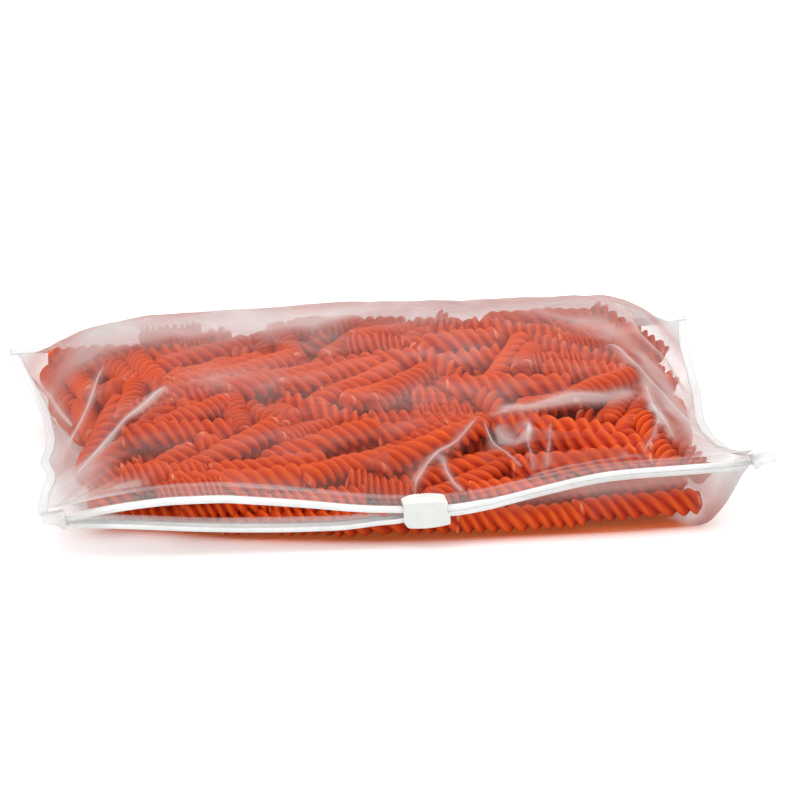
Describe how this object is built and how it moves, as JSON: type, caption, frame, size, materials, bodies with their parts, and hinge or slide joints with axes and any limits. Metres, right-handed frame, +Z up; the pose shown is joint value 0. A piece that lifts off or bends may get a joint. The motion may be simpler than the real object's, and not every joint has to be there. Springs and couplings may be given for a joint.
{
  "type": "slider zipper storage bag",
  "caption": "Filled-out translucent film bag lying flat, closed by an interlocking zipper with a moulded slider, its mouth partly open.",
  "frame": {"origin": "middle of the flat underside that the bag lies on", "axes": "+X along the mouth towards its closed end, -Y out of the mouth, +Z up"},
  "size_m": [0.268, 0.1902, 0.0498],
  "materials": {
    "film": "frosted translucent",
    "weld": "translucent",
    "zipper": "milky",
    "slider": "satin white"
  },
  "bodies": {
    "bag": {"upper_film_panel": "film", "lower_film_panel": "film", "left_side_seal": "weld", "right_side_seal": "weld", "rear_seal": "weld", "upper_zipper_track": "zipper", "lower_zipper_track": "zipper", "left_end_weld": "weld", "right_end_weld": "weld"},
    "slider": {"slider": "slider"}
  },
  "joints": [
    {"name": "slider_travel", "type": "slide", "parent": "bag", "child": "slider", "axis": [0.9993, 0, 0.0384], "range_m": [-0.122, 0.112], "deforming": ["upper_zipper_track", "lower_zipper_track"]}
  ]
}
